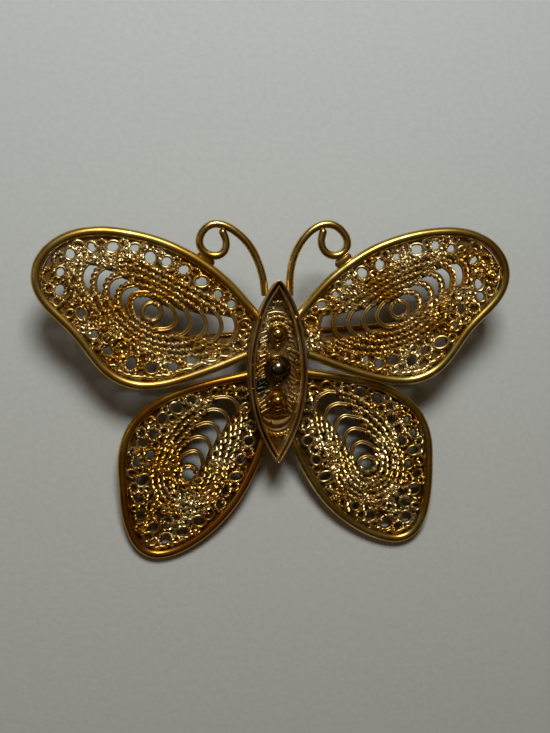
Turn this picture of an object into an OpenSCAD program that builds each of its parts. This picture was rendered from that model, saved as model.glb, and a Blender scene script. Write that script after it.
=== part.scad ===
// Butterfly brooch with pierced filigree wings, a boat-shaped body and a plain pin behind. Millimetres.
// It is drawn flat, with the middle of the body at the origin, the head toward +Y, the front toward +Z.
// Then it is tilted about X, so that it lies on its pin and its lower wings, and it is moved so that
// the origin is under the middle of its box.

/* [Upper wings] */
// Reach of an upper wing, from the body's axis to the middle of the frame wire
forewing_length = 28.8; // [27:0.2:32]
// Height of an upper wing, between the middles of the frame wire
forewing_height = 18.5; // [17.5:0.1:20]
// How far the lowest stretch of that wire lies below the body's middle
forewing_drop = 1.45; // [1:0.05:1.8]

/* [Lower wings] */
// Reach of a lower wing, from the body's axis to the middle of the frame wire
hindwing_length = 19.6; // [18.5:0.1:22]
// Height of a lower wing, between the middles of the frame wire
hindwing_height = 22.55; // [21.5:0.05:25]
// How far the top of that wire lies below the body's middle
hindwing_drop = 0.6; // [0.4:0.05:1]
// Angle by which the lower wings are turned about the body's middle, left one down and right one up
hindwing_turn = 1.6; // [0:0.1:2]

/* [Wires] */
// Diameter of the round wire that frames a wing
frame_wire_d = 1.2; // [1:0.05:1.3]
// Diameter of the round wire of an antenna
antenna_wire_d = 0.85; // [0.8:0.05:0.95]

/* [Filigree] */
// Height of the openwork, without its raised ropes
filigree_h = 0.6; // [0.5:0.05:0.8]
// Width of a raised rope
rope_w = 0.5; // [0.4:0.05:0.55]
// How far a rope stands up from the openwork
rope_rise = 0.3; // [0.2:0.05:0.4]
// Diameter of a usual round gap in a wing
ring_gap_d = 1.3; // [1.1:0.05:1.4]
// Half the height of the gaps between the ends of the nested loops
crescent_half_h = 1.35; // [1.1:0.05:1.6]

/* [Body] */
// Length of the body, from tip to tip
body_length = 22.8; // [22:0.1:24]
// Width of the body at its middle
body_width = 6.85; // [6.5:0.05:7.4]
// Height of the body's wall
cup_h = 3.6; // [3:0.1:4]
// How far the wall's rim stands above the middle of the upper frame wire
cup_rise = 1.5; // [1.2:0.1:1.8]
// Thickness of the wall
cup_wall_t = 0.35; // [0.3:0.05:0.5]
// Thickness of the floor inside the wall
cup_floor_t = 0.8; // [0.6:0.1:1]
// Depth of that floor below the rim
cup_depth = 2.2; // [2:0.1:2.4]
// Width of the low band round the outside of the wall
skirt_w = 0.35; // [0.3:0.05:0.4]
// Height of that band
skirt_h = 1.7; // [1.2:0.1:2]

/* [Balls on the body] */
// Diameter of the ball near the head
bead_upper_d = 1.85; // [1.6:0.05:2]
// Diameter of the middle ball
bead_middle_d = 2.55; // [2.2:0.05:2.8]
// Diameter of the ball near the tail
bead_lower_d = 1.75; // [1.5:0.05:2]
// Thickness of the ring that each ball sits in
collar_t = 0.3; // [0.25:0.05:0.35]
// Height of that ring
collar_h = 0.9; // [0.7:0.1:1]

/* [Antennae] */
// Reach of an antenna, from the body's axis to the middle of its wire
antenna_reach = 9; // [8.6:0.1:9.1]
// Height of an antenna's highest point above the body's middle
antenna_top = 18; // [17.9:0.05:18.5]
// How far the antennae's tops lean to the left, seen from the front
antenna_lean = 0.7; // [0:0.1:0.8]

/* [Pin] */
// Diameter of the pin's stem
stem_d = 1.0; // [0.8:0.05:1.1]
// Distance of the hinge from the body's axis
hinge_x = 14.2; // [12:0.2:15]
// Distance of the catch from the body's axis
catch_x = 17; // [15:0.2:18]
// Height of the stem above the body's middle, at the hinge
stem_y_hinge = 3.4; // [3.2:0.05:3.8]
// Height of the stem above the body's middle, at the catch
stem_y_catch = 4.85; // [4.5:0.05:5.2]
// How far the stem's point runs past the catch
stem_point = 2.2; // [1.8:0.1:3]
// Depth of the hinge and the catch below the middle of the upper frame wire
pin_depth = 6.4; // [5.8:0.1:7]
// Length of the hinge's barrel
barrel_l = 2.8; // [2.4:0.1:3.2]
// Diameter of the hinge's barrel
barrel_d = 2.2; // [2:0.1:2.4]
// Width of the catch, along the stem
catch_w = 1.8; // [1.4:0.1:2.2]
// Diameter of the opening in the catch's hook
catch_bore_d = 1.4; // [1.3:0.05:1.5]
// Thickness of the hook, of the hinge's cheeks and of both soldered pads
pin_sheet_t = 0.55; // [0.45:0.05:0.6]
// Width of the soldered pads, along the stem
pad_w = 3.4; // [3:0.1:4]

/* [Fit] */
// Clearance between pieces that are soldered together
gap = 0.08; // [0.05:0.01:0.1]

/* [Hidden] */
$fn = 48;
gold = "goldenrod";
dark_gold = "darkgoldenrod";
LEFT = "left";
RIGHT = "right";

// Outlines of the frame wires' middles. Columns: share of the wing's length outward, of its height up
FOREWING_OUTLINE = [
    [0.055, 0.375], [0.17, 0.60], [0.31, 0.79], [0.465, 0.92], [0.64, 0.99], [0.805, 0.995],
    [0.94, 0.90], [1.0, 0.71], [0.95, 0.525], [0.845, 0.365], [0.765, 0.175], [0.67, 0.04],
    [0.53, 0.0], [0.335, 0.075], [0.16, 0.18], [0.055, 0.24]
];
HINDWING_OUTLINE = [
    [0.08, 1.02], [0.255, 0.99], [0.485, 0.955], [0.705, 0.895], [0.885, 0.785], [0.985, 0.63],
    [1.0, 0.43], [0.985, 0.215], [0.915, 0.055], [0.775, 0.0], [0.585, 0.06], [0.405, 0.175],
    [0.265, 0.32], [0.17, 0.47], [0.11, 0.60], [0.065, 0.715]
];
// Line of an antenna. Columns: share of its reach outward, share of its height from its foot to the top
ANTENNA_LINE = [
    [0.16, 0.0], [0.175, 0.147], [0.239, 0.453], [0.422, 0.80], [0.68, 1.0], [0.89, 0.947], [1.0, 0.74],
    [0.95, 0.567], [0.81, 0.493], [0.68, 0.567], [0.64, 0.72], [0.665, 0.84]
];

// The tables below are in millimetres on a wing of this reach, height and drop, and follow its real size
FOREWING_DRAWN = [28.8, 18.5, 1.45];
HINDWING_DRAWN = [19.6, 22.55, 0.6];
// Bent axes of the nested loops, from the body outward, and the rows at which their small rings sit
FOREWING_AXIS = [
    [3, 5.2], [5.6, 5.4], [9.5, 5.9], [12.5, 6.4], [15.3, 7.6], [17.1, 8.8], [18.8, 10.1],
    [20.6, 11.2], [22.4, 11.8], [24.6, 12.1], [26.8, 12.2]
];
forewing_core_row = 4;
HINDWING_AXIS = [
    [5, -2.2], [6, -3.9], [7.3, -5.7], [8.6, -7.4], [9.8, -9.2], [10.8, -11], [11.5, -12.9],
    [12.5, -15], [13.6, -17], [14.6, -19.2]
];
hindwing_core_row = 6;
// Round gaps. Columns: outward, up, share of the usual diameter
FOREWING_GAPS_LEFT = [
    [5.7, 8.4, 0.8], [7.3, 9.6, 0.9], [9.3, 11.1, 1], [11.4, 12.6, 1], [13.4, 13.6, 0.9],
    [15.3, 14, 1.1], [17.2, 15.1, 0.9], [19.7, 15.3, 1], [22.2, 15.3, 0.8], [24.6, 14.5, 0.9],
    [25.9, 12.4, 0.8], [26, 10.2, 1], [23.6, 7.4, 0.9], [22.2, 5, 0.8], [20.6, 2.9, 0.9],
    [17.9, 1.3, 1.15], [15.4, 0.7, 1], [12.9, 0.9, 1], [10.6, 1.6, 0.9]
];
FOREWING_GAPS_RIGHT = [
    [5.5, 8.2, 0.9], [7.1, 9.4, 0.9], [8.8, 10.9, 0.8], [10.5, 12.1, 1], [12.6, 13.1, 1],
    [14.6, 14.1, 0.8], [17.3, 14.9, 1.1], [19.6, 15.4, 0.9], [21.6, 15, 0.8], [24.6, 13.6, 0.8],
    [25.3, 10.7, 1], [25.6, 9.1, 0.9], [23.2, 7.4, 0.9], [22.4, 5.4, 0.8], [20.7, 3.4, 1.1],
    [18.6, 2.3, 0.9], [16.9, 1.1, 1.15], [14.7, 1.2, 1], [12.8, 0.7, 0.8], [11.1, 1.4, 0.9]
];
HINDWING_GAPS_LEFT = [
    [10.7, -3.4, 0.9], [12.6, -4.3, 1], [14.4, -5.5, 0.9], [15.7, -7.4, 1], [17, -8.6, 0.8],
    [16.1, -10.1, 0.9], [17.8, -11, 0.9], [17.1, -13.3, 1.1], [17.9, -15.6, 1], [17.7, -17.9, 1],
    [16.2, -19.6, 1], [14.8, -21.2, 1.1], [12.6, -20.4, 1], [10.4, -19, 1], [7, -15.3, 0.9],
    [5.5, -13.5, 0.9], [4.8, -11.4, 0.8], [3.7, -9, 0.9]
];
HINDWING_GAPS_RIGHT = [
    [8.8, -3, 0.9], [10.8, -3.6, 1.1], [12.9, -4.4, 1], [14.6, -5.5, 0.8], [14.7, -7.2, 1],
    [16.6, -7.4, 0.8], [17.6, -9.1, 0.8], [16, -10.1, 0.9], [17.6, -11.4, 0.9], [16.9, -13.2, 0.9],
    [18, -14.6, 0.8], [17.7, -16.6, 1.1], [16.6, -18.4, 0.9], [16.6, -20.3, 1.1], [13.9, -20.9, 1.15],
    [11.9, -19.9, 0.9], [10, -18.4, 1], [6, -14.2, 1], [4.9, -12, 0.8],
    [3.8, -9.3, 0.9]
];

outline_steps = 8;
frame_stations = 64;
frame_sides = 10;
antenna_stations = 44;
antenna_sides = 8;
loop_points = 40;
axis_step = 0.4;
crescent_steps = 7;

// Filigree cores: nested rope loops round a small ring
forewing_core_out = 0.333 * forewing_length;
forewing_core_in = 0.365 * forewing_length;
forewing_core_half_w = 0.25 * forewing_height;
hindwing_core_out = 0.27 * hindwing_length;
hindwing_core_in = 0.57 * hindwing_length;
hindwing_core_half_w = 0.2 * hindwing_height;
core_loops = 5;
core_ring_r = 1.2;
edge_strip = 0.2;
web_t = 0.3;
least_gap_d = 0.75;

hindwing_z = -(frame_wire_d + 2 * gap);
filigree_base = -0.5;
cup_base = cup_rise - cup_h;
floor_top = cup_rise - cup_depth;
antenna_base_y = 10.5;
antenna_z = 0.2;
pad_top = filigree_base - gap;
barrel_z = -pin_depth + barrel_d / 2;
hook_r = catch_bore_d / 2 + pin_sheet_t;
solder_bite = 0.1;
cut_over = 1;

// Places along the body, from its middle toward the head
bead_upper_y = 0.205 * body_length;
bead_middle_y = 0.02 * body_length;
bead_lower_y = -0.163 * body_length;
collar_groove = 0.12;
seat_t = 0.25;
bead_sink = 0.4;
head_rope_r = [1.75, 2.6];
tail_rope_y = -0.255 * body_length;
tail_rope_r = 2.2;
tail_floor_r = 2.9;
side_rope_top = bead_upper_y + 0.5;
side_rope_low = tail_rope_y - 0.4;
side_rope_inset = 0.35;
grain_d = 0.7;
function collar_r(d) = d / 2 + collar_groove + collar_t;
grain_y = [
    (bead_upper_y - collar_r(bead_upper_d) + bead_middle_y + collar_r(bead_middle_d)) / 2,
    (bead_middle_y - collar_r(bead_middle_d) + bead_lower_y + collar_r(bead_lower_d)) / 2,
    bead_lower_y - collar_r(bead_lower_d) - grain_d / 2 - gap
];

// Curves
function padded(p) = concat([2 * p[0] - p[1]], p, [2 * p[len(p) - 1] - p[len(p) - 2]]);
function pushed_out(p) = let (q = padded(p)) [
    for (i = [1:len(p)]) q[i] + (2 * q[i] - q[i - 1] - q[i + 1]) / 6
];
function blend(a, b, c, d, t) = (
    pow(1 - t, 3) * a + (3 * pow(t, 3) - 6 * t * t + 4) * b
    + (1 + 3 * t + 3 * t * t - 3 * pow(t, 3)) * c + pow(t, 3) * d
) / 6;
// A curve without kinks that runs through the points of a table
function smooth_curve(p) = let (q = padded(pushed_out(p)), last = len(q) - 4) [
    for (i = [0:last], j = [0:outline_steps - (i < last ? 1 : 0)])
        blend(q[i], q[i + 1], q[i + 2], q[i + 3], j / outline_steps)
];
function travelled(p) = [
    for (i = 0, d = 0; i < len(p); i = i + 1, d = d + (i < len(p) ? norm(p[i] - p[i - 1]) : 0)) d
];
function column(p, d, k) = [for (i = [0:len(p) - 1]) [d[i], p[i][k]]];
// The points of a curve at the given distances along it
function points_along(p, distances) = let (
    d = travelled(p),
    xs = column(p, d, 0),
    ys = column(p, d, 1)
) [for (s = distances) [lookup(s, xs), lookup(s, ys)]];
function evenly_spaced(p, count) = let (d = travelled(p), total = d[len(d) - 1])
    points_along(p, [for (k = [0:count - 1]) total * k / (count - 1)]);
function tangent(p, i) = let (
    t = p[min(i + 1, len(p) - 1)] - p[max(i - 1, 0)]
) t / norm(t);
// A curve moved to its right by some distance, which is inward on a wing that runs clockwise
function moved_inward(p, by) = [
    for (i = [0:len(p) - 1]) let (t = tangent(p, i)) p[i] + by * [t[1], -t[0]]
];
function turned(p, angle) = [
    for (q = p) [q[0] * cos(angle) - q[1] * sin(angle), q[0] * sin(angle) + q[1] * cos(angle)]
];
function on_side(p, side) = [for (q = p) [side == LEFT ? -q[0] : q[0], q[1]]];
function leaned(p) = [
    for (q = p) [q[0] - antenna_lean * (q[1] - antenna_base_y) / (antenna_top - antenna_base_y), q[1]]
];

// Wing outlines, drawn on the right-hand side and clockwise seen from the front
forewing_curve = evenly_spaced(smooth_curve([
    for (row = FOREWING_OUTLINE) [row[0] * forewing_length, row[1] * forewing_height - forewing_drop]
]), frame_stations);
hindwing_curve = evenly_spaced(smooth_curve([
    for (row = HINDWING_OUTLINE)
        [row[0] * hindwing_length, (row[1] - 1) * hindwing_height - hindwing_drop]
]), frame_stations);
antenna_curve = evenly_spaced(smooth_curve([
    for (row = ANTENNA_LINE)
        [row[0] * antenna_reach, antenna_base_y + row[1] * (antenna_top - antenna_base_y)]
]), antenna_stations);

// Points of a round tube along a flat path, ring by ring
function tube_ring(path, i, r, sides, z) = let (t = tangent(path, i), across = [t[1], -t[0]]) [
    for (k = [0:sides - 1]) let (a = 360 * k / sides)
        [path[i][0] + across[0] * r * cos(a), path[i][1] + across[1] * r * cos(a), z + r * sin(a)]
];
function tube_points(path, r, sides, z) = [
    for (i = [0:len(path) - 1]) each tube_ring(path, i, r, sides, z)
];
function tube_faces(rings, sides) = concat(
    [[for (k = [0:sides - 1]) k]],
    [
        for (i = [0:rings - 2], k = [0:sides - 1]) let (n = (k + 1) % sides)
            [i * sides + k, (i + 1) * sides + k, (i + 1) * sides + n, i * sides + n]
    ],
    [[for (k = [sides - 1:-1:0]) (rings - 1) * sides + k]]
);

// A place from a wing's table, on a wing of its real size. Sizes are its reach, height and drop
function on_wing(p, drawn, size) = [
    p[0] * size[0] / drawn[0], (p[1] + drawn[2]) * size[1] / drawn[1] - size[2]
];
// Cores as [points of the axis, distances along it, place of the ring on it, then the outermost loop's
// reach outward, reach inward and half width]
function core_on(table, row, drawn, size, reach) = let (
    axis = smooth_curve([for (p = table) on_wing(p, drawn, size)]),
    d = travelled(axis)
) [axis, d, d[row * outline_steps], reach[0], reach[1], reach[2]];
forewing_size = [forewing_length, forewing_height, forewing_drop];
hindwing_size = [hindwing_length, hindwing_height, hindwing_drop];
FOREWING_CORE = core_on(
    FOREWING_AXIS, forewing_core_row, FOREWING_DRAWN, forewing_size,
    [forewing_core_out, forewing_core_in, forewing_core_half_w]
);
HINDWING_CORE = core_on(
    HINDWING_AXIS, hindwing_core_row, HINDWING_DRAWN, hindwing_size,
    [hindwing_core_out, hindwing_core_in, hindwing_core_half_w]
);

// A point at a distance along a core's axis from its ring, and at a distance to the left of it
function core_point(core, along, aside) = let (
    xs = column(core[0], core[1], 0),
    ys = column(core[0], core[1], 1),
    s = core[2] + along,
    t = [
        lookup(s + axis_step, xs) - lookup(s - axis_step, xs),
        lookup(s + axis_step, ys) - lookup(s - axis_step, ys)
    ]
) [lookup(s, xs), lookup(s, ys)] + aside * [-t[1], t[0]] / norm(t);
// Size of a loop as [reach outward, reach inward, half width], where loop 0 is the ring
function loop_size(core, k) = let (share = k / core_loops) [
    for (reach = [core[3], core[4], core[5]]) core_ring_r + (reach - core_ring_r) * share
];
function loop_point(core, k, grow, angle) = let (size = loop_size(core, k)) core_point(
    core,
    (size[cos(angle) > 0 ? 0 : 1] + grow) * cos(angle),
    (size[2] + grow) * sin(angle)
);
function loop_outline(core, k, grow) = [
    for (i = [0:loop_points - 1]) loop_point(core, k, grow, 360 * i / loop_points)
];
// Angles at which a loop has the crescents' height, and those between them
function crescent_angles(core, k, middle) = let (
    half = asin(min(0.85, crescent_half_h / loop_size(core, k)[2]))
) [for (i = [0:crescent_steps]) middle + half * (2 * i / crescent_steps - 1)];
// The open space between a loop and the next one inside it, at one end of the core
function crescent(core, k, middle) = concat(
    [for (a = crescent_angles(core, k, middle)) loop_point(core, k, -rope_w / 2, a)],
    [
        for (i = [crescent_steps:-1:0])
            loop_point(core, k - 1, rope_w / 2, crescent_angles(core, k - 1, middle)[i])
    ]
);

// Round gaps: those of a table that are outside the core, shrunk to the room that they have
function body_half_width(y) = let (r = marquise_r(body_width, body_length)) (
    abs(y) < body_length / 2 ? sqrt(r * r - y * y) - r + body_width / 2 : 0
);
function nearest(p, others) = min([for (q = others) norm(p - q)]);
function crosses(p, a, b) = (a[1] > p[1]) != (b[1] > p[1])
    && p[0] < a[0] + (b[0] - a[0]) * (p[1] - a[1]) / (b[1] - a[1]);
function inside(p, loop) = len([
    for (i = [0:len(loop) - 1]) if (crosses(p, loop[i], loop[(i + 1) % len(loop)])) i
]) % 2 == 1;
function room(p, curve, loop, kept) = min([
    p[0] - body_half_width(p[1]) - skirt_w - gap - edge_strip,
    nearest(p, curve) - frame_wire_d / 2 - gap - edge_strip,
    nearest(p, loop) - rope_w / 2,
    for (g = kept) norm([g[0] - p[0], g[1] - p[1]]) - g[2] / 2 - web_t
]);
function fitted_gap(p, r) = r > least_gap_d / 2 ? [[p[0], p[1], 2 * r]] : [];
function fitted_gaps(places, curve, loop, i = 0, kept = []) = i == len(places) ? kept : let (
    p = [places[i][0], places[i][1]],
    r = min(places[i][2] * ring_gap_d / 2, room(p, curve, loop, kept))
) fitted_gaps(places, curve, loop, i + 1, concat(kept, inside(p, loop) ? [] : fitted_gap(p, r)));
function clear_gaps(table, drawn, size, curve, core) = fitted_gaps(
    [for (row = table) let (p = on_wing(row, drawn, size)) [p[0], p[1], row[2]]],
    curve, loop_outline(core, core_loops, 0)
);
function forewing_gaps(side) = clear_gaps(
    side == LEFT ? FOREWING_GAPS_LEFT : FOREWING_GAPS_RIGHT,
    FOREWING_DRAWN, forewing_size, forewing_curve, FOREWING_CORE
);
function hindwing_gaps(side) = clear_gaps(
    side == LEFT ? HINDWING_GAPS_LEFT : HINDWING_GAPS_RIGHT,
    HINDWING_DRAWN, hindwing_size, hindwing_curve, HINDWING_CORE
);

// Rest: the tilt at which the pin's lower edge and the lower wings' wires touch one surface
pin_low_y = stem_y_hinge - barrel_l / 2;
hindwing_low_y = -hindwing_height - hindwing_drop;
rest_lever = [pin_low_y - hindwing_low_y, pin_depth + hindwing_z];
rest_tilt = atan2(rest_lever[1], rest_lever[0]) - asin(frame_wire_d / 2 / norm(rest_lever));
// The catch is as much deeper than the hinge as the tilt lifts it
hook_z = (pin_low_y - stem_y_catch) * tan(rest_tilt) - pin_depth + hook_r / cos(rest_tilt);
stem_z = hook_z + catch_bore_d / 2 - stem_d / 2 + solder_bite;
function tilted(p) = [
    p[0], p[1] * cos(rest_tilt) - p[2] * sin(rest_tilt), p[1] * sin(rest_tilt) + p[2] * cos(rest_tilt)
];
function side_path(curve, side, angle) = turned(on_side(curve, side), angle);
function antenna_path(side) = leaned(on_side(antenna_curve, side));
wire_points = [
    for (side = [LEFT, RIGHT]) each concat(
        tube_points(side_path(forewing_curve, side, 0), frame_wire_d / 2, frame_sides, 0),
        tube_points(
            side_path(hindwing_curve, side, hindwing_turn), frame_wire_d / 2, frame_sides, hindwing_z
        ),
        tube_points(antenna_path(side), antenna_wire_d / 2, antenna_sides, antenna_z)
    )
];
resting_points = [for (p = wire_points) tilted(p)];
box_x = [min([for (p = resting_points) p[0]]), max([for (p = resting_points) p[0]])];
box_y = [min([for (p = resting_points) p[1]]), max([for (p = resting_points) p[1]])];
box_low = min([for (p = resting_points) p[2]]);

module at_rest() {
    translate([-(box_x[0] + box_x[1]) / 2, -(box_y[0] + box_y[1]) / 2, -box_low])
        rotate([rest_tilt, 0, 0]) children();
}

module on_wing_side(side, angle) {
    rotate(angle) mirror([side == LEFT ? 1 : 0, 0, 0]) children();
}

// Body outline: two equal arcs that meet in a point at each end
function marquise_r(width, length) = (length * length / 4 + width * width / 4) / width;

module marquise(grow) {
    r = marquise_r(body_width, body_length);
    intersection() {
        translate([r - body_width / 2, 0]) circle(r + grow, $fn = 180);
        translate([body_width / 2 - r, 0]) circle(r + grow, $fn = 180);
    }
}

module body_room() {
    translate([0, 0, -pin_depth]) linear_extrude(2 * pin_depth) marquise(skirt_w + gap);
}

// A round wire along one side's path
module wire(path, d, sides, z) {
    polyhedron(
        points = tube_points(path, d / 2, sides, z),
        faces = tube_faces(len(path), sides)
    );
}

module frame_wire(curve, side, angle, z) {
    difference() {
        wire(side_path(curve, side, angle), frame_wire_d, frame_sides, z);
        body_room();
    }
}

module forewing_frame(side) {
    color(gold) at_rest() frame_wire(forewing_curve, side, 0, 0);
}

module hindwing_frame(side) {
    color(gold) at_rest() frame_wire(hindwing_curve, side, hindwing_turn, hindwing_z);
}

// Raised rope round one loop of a core, right through the openwork
module rope_band(core, k) {
    outer = loop_outline(core, k, rope_w / 2);
    inner = loop_outline(core, k, -rope_w / 2);
    linear_extrude(filigree_h + rope_rise) polygon(
        concat(outer, inner),
        [
            [for (i = [0:loop_points - 1]) i],
            [for (i = [0:loop_points - 1]) loop_points + i]
        ]
    );
}

module filigree(curve, core, gaps, ends) {
    ring_place = core_point(core, 0, 0);
    hole_h = filigree_h + rope_rise + 2 * cut_over;
    difference() {
        union() {
            linear_extrude(filigree_h) polygon(moved_inward(curve, frame_wire_d / 2 + gap));
            for (k = [1:core_loops]) rope_band(core, k);
            translate(ring_place) cylinder(h = filigree_h + rope_rise, r = core_ring_r);
        }
        translate([ring_place[0], ring_place[1], -cut_over])
            cylinder(h = hole_h, r = core_ring_r - rope_w / 2);
        for (g = gaps) translate([g[0], g[1], -cut_over]) cylinder(h = hole_h, d = g[2], $fn = 36);
        for (k = [1:core_loops], middle = ends)
            translate([0, 0, -cut_over]) linear_extrude(hole_h) polygon(crescent(core, k, middle));
    }
}

module wing_filigree(curve, core, gaps, ends, side, angle, z) {
    color(dark_gold) at_rest() difference() {
        on_wing_side(side, angle) translate([0, 0, z + filigree_base])
            filigree(curve, core, gaps, ends);
        body_room();
    }
}

module forewing_filigree(side) {
    wing_filigree(forewing_curve, FOREWING_CORE, forewing_gaps(side), [0, 180], side, 0, 0);
}

module hindwing_filigree(side) {
    wing_filigree(
        hindwing_curve, HINDWING_CORE, hindwing_gaps(side), [180], side, hindwing_turn, hindwing_z
    );
}

// Body: a thin upright wall with a low band outside, and a floor with raised ropes and two tail gaps
module upright(z, h) {
    translate([0, 0, z]) linear_extrude(h) children();
}

module flat_ring(r, w) {
    difference() {
        circle(r + w / 2);
        circle(r - w / 2);
    }
}

module above(y) {
    intersection() {
        children();
        translate([-body_width, y]) square([2 * body_width, body_length]);
    }
}

module below(y) {
    intersection() {
        children();
        translate([-body_width, y - body_length]) square([2 * body_width, body_length]);
    }
}

module tail_gaps() {
    difference() {
        translate([0, tail_rope_y]) circle(tail_rope_r - rope_w / 2);
        translate([0, bead_lower_y]) circle(tail_floor_r);
    }
    difference() {
        below(tail_rope_y) marquise(-cup_wall_t - gap);
        translate([0, tail_rope_y]) circle(tail_rope_r + rope_w / 2);
    }
}

module body_ropes() {
    intersection() {
        marquise(-cup_wall_t / 2);
        union() {
            for (r = head_rope_r)
                above(bead_upper_y + r / 2) translate([0, bead_upper_y]) flat_ring(r, rope_w);
            below(tail_rope_y) translate([0, tail_rope_y]) flat_ring(tail_rope_r, rope_w);
        }
    }
    below(side_rope_top) above(side_rope_low) difference() {
        marquise(-cup_wall_t - side_rope_inset);
        marquise(-cup_wall_t - side_rope_inset - rope_w);
    }
}

module skirt() {
    above(-body_length / 2) below(body_length / 2) marquise(skirt_w);
}

module body_cup() {
    color(dark_gold) at_rest() {
        difference() {
            union() {
                upright(cup_base, cup_h) marquise(0);
                upright(cup_base, skirt_h) skirt();
            }
            upright(cup_base - cut_over, cup_h + 2 * cut_over) marquise(-cup_wall_t);
        }
        difference() {
            union() {
                upright(floor_top - cup_floor_t, cup_floor_t) marquise(-cup_wall_t / 2);
                upright(floor_top - cup_floor_t, cup_floor_t + rope_rise) body_ropes();
                for (y = grain_y) translate([0, y, floor_top]) sphere(d = grain_d);
            }
            upright(floor_top - cup_floor_t - cut_over, cup_floor_t + cup_depth) tail_gaps();
        }
    }
}

// A ball on a round seat with a thin ring round it
module bead(y, d) {
    seat_r = collar_r(d);
    color(gold) at_rest() translate([0, y, floor_top + gap]) {
        difference() {
            cylinder(h = collar_h, r = seat_r);
            translate([0, 0, seat_t]) cylinder(h = collar_h, r = seat_r - collar_t);
        }
        difference() {
            translate([0, 0, d * bead_sink]) sphere(d = d);
            translate([-d, -d, -2 * d]) cube(2 * d);
        }
    }
}

module antenna(side) {
    color(gold) at_rest() wire(antenna_path(side), antenna_wire_d, antenna_sides, antenna_z);
}

// Pin: hinge, stem and catch as one plain piece
module stem(from, to) {
    along = to - from;
    length = norm(along);
    point = length + catch_w + stem_point;
    translate(from) rotate([0, acos(along[2] / length), atan2(along[1], along[0])])
        rotate_extrude() polygon([
            [0, 0], [stem_d / 2, 0], [stem_d / 2, length + catch_w], [stem_d / 8, point], [0, point]
        ]);
}

module pad(x, y) {
    translate([x - pad_w / 2, y - barrel_l / 2, pad_top - pin_sheet_t])
        cube([pad_w, barrel_l, pin_sheet_t]);
}

module hinge() {
    pad(-hinge_x, stem_y_hinge);
    translate([-hinge_x, stem_y_hinge, 0]) {
        translate([0, barrel_l / 2, barrel_z]) rotate([90, 0, 0]) cylinder(h = barrel_l, d = barrel_d);
        for (y = [-barrel_l / 2, barrel_l / 2 - pin_sheet_t])
            translate([-barrel_d / 2, y, barrel_z])
                cube([barrel_d, pin_sheet_t, pad_top - solder_bite - barrel_z]);
    }
}

module catch() {
    pad(catch_x, stem_y_catch);
    translate([catch_x - catch_w / 2, stem_y_catch, hook_z]) {
        difference() {
            rotate([0, 90, 0]) cylinder(h = catch_w, r = hook_r);
            translate([-cut_over, 0, 0]) rotate([0, 90, 0])
                cylinder(h = catch_w + 2 * cut_over, d = catch_bore_d);
            translate([-cut_over, 0, -catch_bore_d / 4])
                cube([catch_w + 2 * cut_over, 2 * hook_r, catch_bore_d / 2]);
        }
        translate([0, -hook_r, 0]) cube([catch_w, pin_sheet_t, pad_top - solder_bite - hook_z]);
    }
}

module brooch_pin() {
    color(dark_gold) at_rest() {
        hinge();
        catch();
        stem([-hinge_x, stem_y_hinge, barrel_z], [catch_x, stem_y_catch, stem_z]);
    }
}

forewing_frame(LEFT);  // forewing_frame_left
forewing_frame(RIGHT);  // forewing_frame_right
hindwing_frame(LEFT);  // hindwing_frame_left
hindwing_frame(RIGHT);  // hindwing_frame_right
forewing_filigree(LEFT);  // forewing_filigree_left
forewing_filigree(RIGHT);  // forewing_filigree_right
hindwing_filigree(LEFT);  // hindwing_filigree_left
hindwing_filigree(RIGHT);  // hindwing_filigree_right
body_cup();
bead(bead_upper_y, bead_upper_d);  // bead_upper
bead(bead_middle_y, bead_middle_d);  // bead_middle
bead(bead_lower_y, bead_lower_d);  // bead_lower
antenna(LEFT);  // antenna_left
antenna(RIGHT);  // antenna_right
brooch_pin();
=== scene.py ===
"""Gold butterfly brooch: twisted ropes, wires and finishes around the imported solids, and the stage."""

import math
import random

import bmesh
import bpy
import numpy as np
from mathutils import Matrix, Vector, noise


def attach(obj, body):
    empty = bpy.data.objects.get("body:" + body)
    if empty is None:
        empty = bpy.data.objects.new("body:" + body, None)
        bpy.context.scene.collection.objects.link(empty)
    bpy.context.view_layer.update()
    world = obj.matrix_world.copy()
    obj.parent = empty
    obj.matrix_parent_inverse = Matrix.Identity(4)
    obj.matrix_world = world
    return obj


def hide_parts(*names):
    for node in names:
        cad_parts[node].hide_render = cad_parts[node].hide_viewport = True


bl_info = {
    "name": "Filigree butterfly brooch",
    "version": (1, 0, 0),
    "blender": (4, 5, 0),
    "location": "3D View > Sidebar > Brooch",
    "description": "Dresses the solids of a filigree butterfly brooch in ropes and tarnished gold",
    "category": "Add Mesh",
}

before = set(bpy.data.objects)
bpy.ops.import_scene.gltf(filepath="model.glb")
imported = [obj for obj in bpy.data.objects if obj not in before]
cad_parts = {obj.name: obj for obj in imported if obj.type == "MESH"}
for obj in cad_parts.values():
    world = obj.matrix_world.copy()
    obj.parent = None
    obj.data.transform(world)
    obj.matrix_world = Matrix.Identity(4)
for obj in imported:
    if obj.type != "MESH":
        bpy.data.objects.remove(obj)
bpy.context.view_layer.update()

MM = 0.001
SEAM = 1e-6
# Diameters of the wires in the solids
SOLID_FRAME_D = 1.2 * MM
SOLID_ANTENNA_D = 0.85 * MM
# Levels in a wing's openwork: cuts through the plate and its foot, counted up from the lowest face
PLATE_CUT = 0.3 * MM
FOOT_CUT = 0.08 * MM
# A cut through its raised bands and the middle line of the ropes, counted down from the top
BAND_CUT = 0.1 * MM
CROWN_DROP = 0.32 * MM
# Beyond these, toward the ends of the wings, scraps of rope cover the loops too
LOW_END_Y = -9 * MM
OUTER_END_X = 19 * MM
# Places tried for scraps, scraps at most on one wing, and grains strewn in the body
TRIES = 1500
SCRAPS = 190
GRAINS = 190
# Half the length and half the inner width of the body, in millimetres
HALF_LENGTH = 11.4
HALF_WIDTH = 2.9
# How much of a ball's height stands above its seat
BALL_SHOWN = 0.9
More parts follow.
